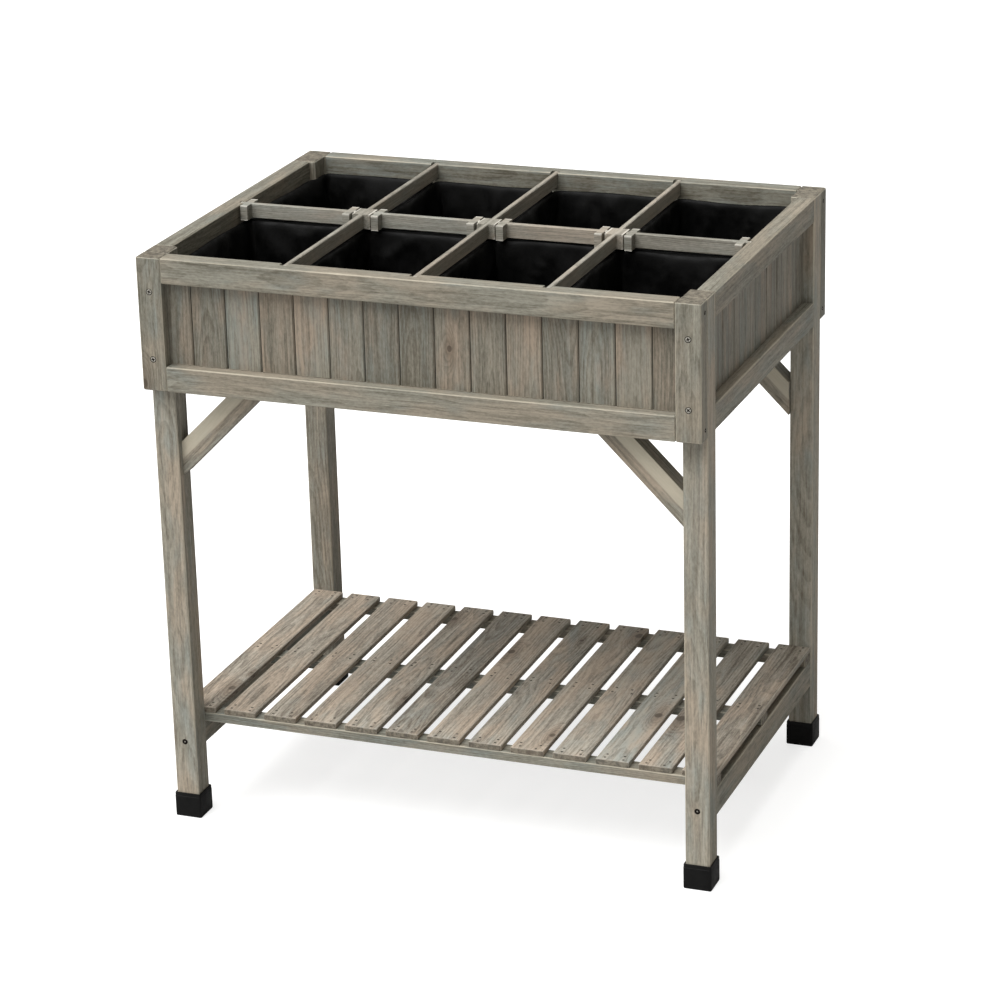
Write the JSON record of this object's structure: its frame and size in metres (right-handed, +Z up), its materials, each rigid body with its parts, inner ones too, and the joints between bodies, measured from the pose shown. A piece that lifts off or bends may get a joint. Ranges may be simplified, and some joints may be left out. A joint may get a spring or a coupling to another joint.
{
  "type": "raised planter on legs",
  "caption": "Raised wooden planter box on four braced legs, with a pocketed fabric liner, a lift-out divider grid and a slatted shelf.",
  "frame": {"origin": "on the ground, at the middle of the footprint", "axes": "+Z up, +X along the long side to the right, -Y is the front"},
  "size_m": [0.7656, 0.56, 0.8],
  "materials": {
    "frame_timber": "grey washed softwood, fine sawn, eased edges",
    "infill_timber": "grey washed tongue and groove boards",
    "shelf_timber": "grey washed slats with warmer streaks and knots",
    "divider_timber": "grey washed battens with pale worn edges",
    "cap_plastic": "black moulded plastic, fine grain",
    "liner_fabric": "black non-woven fabric, matt",
    "screw_steel": "dulled zinc-plated screws"
  },
  "bodies": {
    "planter": {"back_boards": "infill_timber", "back_bottom_rail": "frame_timber", "back_stile_left": "frame_timber", "back_stile_right": "frame_timber", "back_top_rail": "frame_timber", "brace_back_left": "frame_timber", "brace_back_right": "frame_timber", "brace_front_left": "frame_timber", "brace_front_right": "frame_timber", "floor_board_1": "infill_timber", "floor_board_2": "infill_timber", "floor_board_3": "infill_timber", "floor_board_4": "infill_timber", "floor_cleat_back": "frame_timber", "floor_cleat_front": "frame_timber", "foot_cap_back_left": "cap_plastic", "foot_cap_back_right": "cap_plastic", "foot_cap_front_left": "cap_plastic", "foot_cap_front_right": "cap_plastic", "front_boards": "infill_timber", "front_bottom_rail": "frame_timber", "front_stile_left": "frame_timber", "front_stile_right": "frame_timber", "front_top_rail": "frame_timber", "left_boards": "infill_timber", "left_bottom_rail": "frame_timber", "left_top_rail": "frame_timber", "leg_back_left": "frame_timber", "leg_back_right": "frame_timber", "leg_front_left": "frame_timber", "leg_front_right": "frame_timber", "liner": "liner_fabric", "right_boards": "infill_timber", "right_bottom_rail": "frame_timber", "right_top_rail": "frame_timber", "shelf_batten_back": "shelf_timber", "shelf_batten_front": "shelf_timber", "shelf_batten_middle": "shelf_timber", "shelf_rail_left": "shelf_timber", "shelf_rail_right": "shelf_timber", "shelf_slat_01": "shelf_timber", "shelf_slat_02": "shelf_timber", "shelf_slat_03": "shelf_timber", "shelf_slat_04": "shelf_timber", "shelf_slat_05": "shelf_timber", "shelf_slat_06": "shelf_timber", "shelf_slat_07": "shelf_timber", "shelf_slat_08": "shelf_timber", "shelf_slat_09": "shelf_timber", "shelf_slat_10": "shelf_timber", "shelf_slat_11": "shelf_timber", "shelf_slat_12": "shelf_timber", "shelf_slat_13": "shelf_timber"},
    "divider_grid": {"cross_divider_1": "divider_timber", "cross_divider_2": "divider_timber", "cross_divider_3": "divider_timber", "long_divider_1": "divider_timber", "long_divider_2": "divider_timber", "long_divider_3": "divider_timber", "long_divider_4": "divider_timber"}
  },
  "joints": [
    {"name": "grid_lift", "type": "slide", "parent": "planter", "child": "divider_grid", "axis": [0, 0, 1], "range_m": [0, 0.06]}
  ]
}
